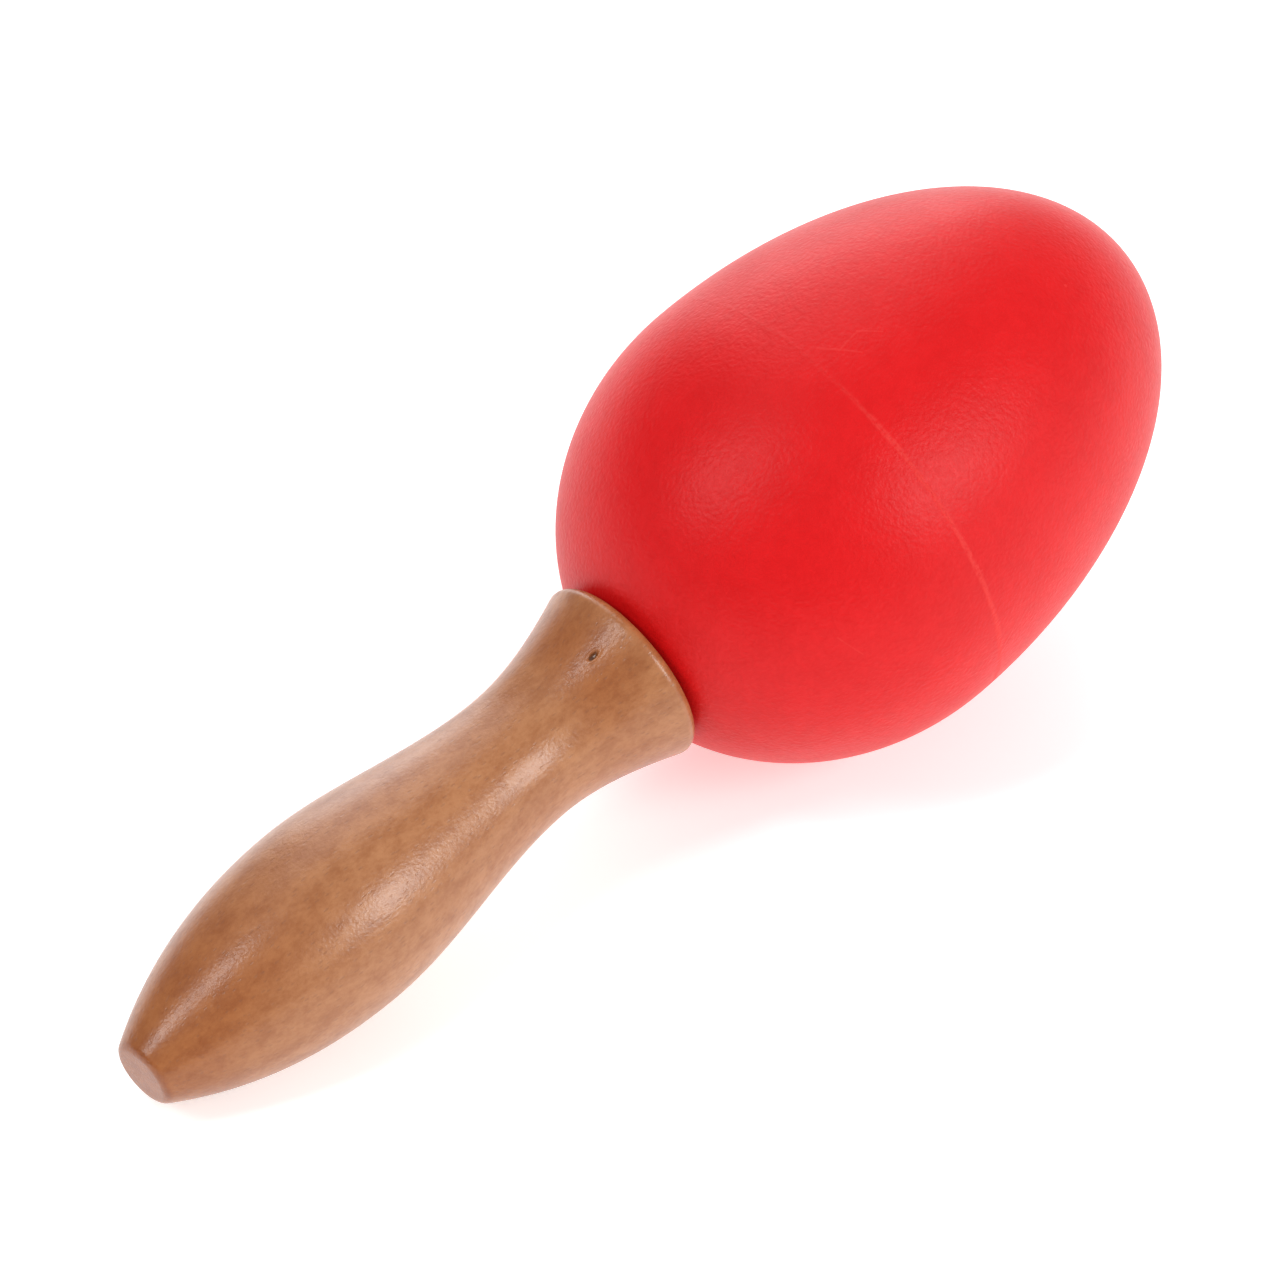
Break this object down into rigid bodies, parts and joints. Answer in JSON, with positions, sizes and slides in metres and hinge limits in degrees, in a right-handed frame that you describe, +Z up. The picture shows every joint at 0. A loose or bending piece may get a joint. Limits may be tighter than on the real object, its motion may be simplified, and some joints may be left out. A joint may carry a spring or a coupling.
{
  "type": "egg shaker",
  "caption": "Hand shaker: a hollow egg in two halves holding loose shot, seated on a turned wooden handle with a palm bulge and a narrow neck.",
  "frame": {"origin": "on the floor that the shaker lies on, at the centre of its bounding box in plan", "axes": "+X towards the tip of the egg, +Z up, +Y across. The shaker lies on its side on the palm bulge and the egg's belly, and its long axis rises 11.6 degrees towards the tip"},
  "size_m": [0.1474, 0.055, 0.056],
  "materials": {
    "wood": "satin clear lacquer over fine-grained wood",
    "red_plastic": "satin, moulded, coloured through",
    "steel": "plain bright steel"
  },
  "bodies": {
    "shaker": {"handle": "wood", "egg_base_half": "red_plastic", "egg_tip_half": "red_plastic", "locking_brad": "steel"},
    "pellet_01": {"pellet_01": "steel"},
    "pellet_02": {"pellet_02": "steel"},
    "pellet_03": {"pellet_03": "steel"},
    "pellet_04": {"pellet_04": "steel"},
    "pellet_05": {"pellet_05": "steel"},
    "pellet_06": {"pellet_06": "steel"},
    "pellet_07": {"pellet_07": "steel"},
    "pellet_08": {"pellet_08": "steel"},
    "pellet_09": {"pellet_09": "steel"},
    "pellet_10": {"pellet_10": "steel"},
    "pellet_11": {"pellet_11": "steel"},
    "pellet_12": {"pellet_12": "steel"},
    "pellet_13": {"pellet_13": "steel"},
    "pellet_14": {"pellet_14": "steel"},
    "pellet_15": {"pellet_15": "steel"},
    "pellet_16": {"pellet_16": "steel"},
    "pellet_17": {"pellet_17": "steel"},
    "pellet_18": {"pellet_18": "steel"},
    "pellet_19": {"pellet_19": "steel"},
    "pellet_20": {"pellet_20": "steel"},
    "pellet_21": {"pellet_21": "steel"},
    "pellet_22": {"pellet_22": "steel"},
    "pellet_23": {"pellet_23": "steel"},
    "pellet_24": {"pellet_24": "steel"},
    "pellet_25": {"pellet_25": "steel"},
    "pellet_26": {"pellet_26": "steel"},
    "pellet_27": {"pellet_27": "steel"},
    "pellet_28": {"pellet_28": "steel"},
    "pellet_29": {"pellet_29": "steel"},
    "pellet_30": {"pellet_30": "steel"},
    "pellet_31": {"pellet_31": "steel"},
    "pellet_32": {"pellet_32": "steel"},
    "pellet_33": {"pellet_33": "steel"},
    "pellet_34": {"pellet_34": "steel"},
    "pellet_35": {"pellet_35": "steel"},
    "pellet_36": {"pellet_36": "steel"},
    "pellet_37": {"pellet_37": "steel"}
  },
  "joints": [
    {"name": "pellet_01_jump", "type": "slide", "parent": "shaker", "child": "pellet_01", "axis": [0, 0, 1], "range_m": [0, 0.037]},
    {"name": "pellet_02_jump", "type": "slide", "parent": "shaker", "child": "pellet_02", "axis": [0, 0, 1], "range_m": [0, 0.03891]},
    {"name": "pellet_03_jump", "type": "slide", "parent": "shaker", "child": "pellet_03", "axis": [0, 0, 1], "range_m": [0, 0.03935]},
    {"name": "pellet_04_jump", "type": "slide", "parent": "shaker", "child": "pellet_04", "axis": [0, 0, 1], "range_m": [0, 0.03859]},
    {"name": "pellet_05_jump", "type": "slide", "parent": "shaker", "child": "pellet_05", "axis": [0, 0, 1], "range_m": [0, 0.03991]},
    {"name": "pellet_06_jump", "type": "slide", "parent": "shaker", "child": "pellet_06", "axis": [0, 0, 1], "range_m": [0, 0.04251]},
    {"name": "pellet_07_jump", "type": "slide", "parent": "shaker", "child": "pellet_07", "axis": [0, 0, 1], "range_m": [0, 0.04354]},
    {"name": "pellet_08_jump", "type": "slide", "parent": "shaker", "child": "pellet_08", "axis": [0, 0, 1], "range_m": [0, 0.04339]},
    {"name": "pellet_09_jump", "type": "slide", "parent": "shaker", "child": "pellet_09", "axis": [0, 0, 1], "range_m": [0, 0.04233]},
    {"name": "pellet_10_jump", "type": "slide", "parent": "shaker", "child": "pellet_10", "axis": [0, 0, 1], "range_m": [0, 0.04052]},
    {"name": "pellet_11_jump", "type": "slide", "parent": "shaker", "child": "pellet_11", "axis": [0, 0, 1], "range_m": [0, 0.0439]},
    {"name": "pellet_12_jump", "type": "slide", "parent": "shaker", "child": "pellet_12", "axis": [0, 0, 1], "range_m": [0, 0.04555]},
    {"name": "pellet_13_jump", "type": "slide", "parent": "shaker", "child": "pellet_13", "axis": [0, 0, 1], "range_m": [0, 0.04599]},
    {"name": "pellet_14_jump", "type": "slide", "parent": "shaker", "child": "pellet_14", "axis": [0, 0, 1], "range_m": [0, 0.04537]},
    {"name": "pellet_15_jump", "type": "slide", "parent": "shaker", "child": "pellet_15", "axis": [0, 0, 1], "range_m": [0, 0.044]},
    {"name": "pellet_16_jump", "type": "slide", "parent": "shaker", "child": "pellet_16", "axis": [0, 0, 1], "range_m": [0, 0.03893]},
    {"name": "pellet_17_jump", "type": "slide", "parent": "shaker", "child": "pellet_17", "axis": [0, 0, 1], "range_m": [0, 0.04327]},
    {"name": "pellet_18_jump", "type": "slide", "parent": "shaker", "child": "pellet_18", "axis": [0, 0, 1], "range_m": [0, 0.04568]},
    {"name": "pellet_19_jump", "type": "slide", "parent": "shaker", "child": "pellet_19", "axis": [0, 0, 1], "range_m": [0, 0.04667]},
    {"name": "pellet_20_jump", "type": "slide", "parent": "shaker", "child": "pellet_20", "axis": [0, 0, 1], "range_m": [0, 0.04655]},
    {"name": "pellet_21_jump", "type": "slide", "parent": "shaker", "child": "pellet_21", "axis": [0, 0, 1], "range_m": [0, 0.04556]},
    {"name": "pellet_22_jump", "type": "slide", "parent": "shaker", "child": "pellet_22", "axis": [0, 0, 1], "range_m": [0, 0.04385]},
    {"name": "pellet_23_jump", "type": "slide", "parent": "shaker", "child": "pellet_23", "axis": [0, 0, 1], "range_m": [0, 0.04052]},
    {"name": "pellet_24_jump", "type": "slide", "parent": "shaker", "child": "pellet_24", "axis": [0, 0, 1], "range_m": [0, 0.0439]},
    {"name": "pellet_25_jump", "type": "slide", "parent": "shaker", "child": "pellet_25", "axis": [0, 0, 1], "range_m": [0, 0.04555]},
    {"name": "pellet_26_jump", "type": "slide", "parent": "shaker", "child": "pellet_26", "axis": [0, 0, 1], "range_m": [0, 0.04599]},
    {"name": "pellet_27_jump", "type": "slide", "parent": "shaker", "child": "pellet_27", "axis": [0, 0, 1], "range_m": [0, 0.04537]},
    {"name": "pellet_28_jump", "type": "slide", "parent": "shaker", "child": "pellet_28", "axis": [0, 0, 1], "range_m": [0, 0.044]},
    {"name": "pellet_29_jump", "type": "slide", "parent": "shaker", "child": "pellet_29", "axis": [0, 0, 1], "range_m": [0, 0.03991]},
    {"name": "pellet_30_jump", "type": "slide", "parent": "shaker", "child": "pellet_30", "axis": [0, 0, 1], "range_m": [0, 0.04251]},
    {"name": "pellet_31_jump", "type": "slide", "parent": "shaker", "child": "pellet_31", "axis": [0, 0, 1], "range_m": [0, 0.04354]},
    {"name": "pellet_32_jump", "type": "slide", "parent": "shaker", "child": "pellet_32", "axis": [0, 0, 1], "range_m": [0, 0.04339]},
    {"name": "pellet_33_jump", "type": "slide", "parent": "shaker", "child": "pellet_33", "axis": [0, 0, 1], "range_m": [0, 0.04233]},
    {"name": "pellet_34_jump", "type": "slide", "parent": "shaker", "child": "pellet_34", "axis": [0, 0, 1], "range_m": [0, 0.037]},
    {"name": "pellet_35_jump", "type": "slide", "parent": "shaker", "child": "pellet_35", "axis": [0, 0, 1], "range_m": [0, 0.03891]},
    {"name": "pellet_36_jump", "type": "slide", "parent": "shaker", "child": "pellet_36", "axis": [0, 0, 1], "range_m": [0, 0.03935]},
    {"name": "pellet_37_jump", "type": "slide", "parent": "shaker", "child": "pellet_37", "axis": [0, 0, 1], "range_m": [0, 0.03859]}
  ]
}
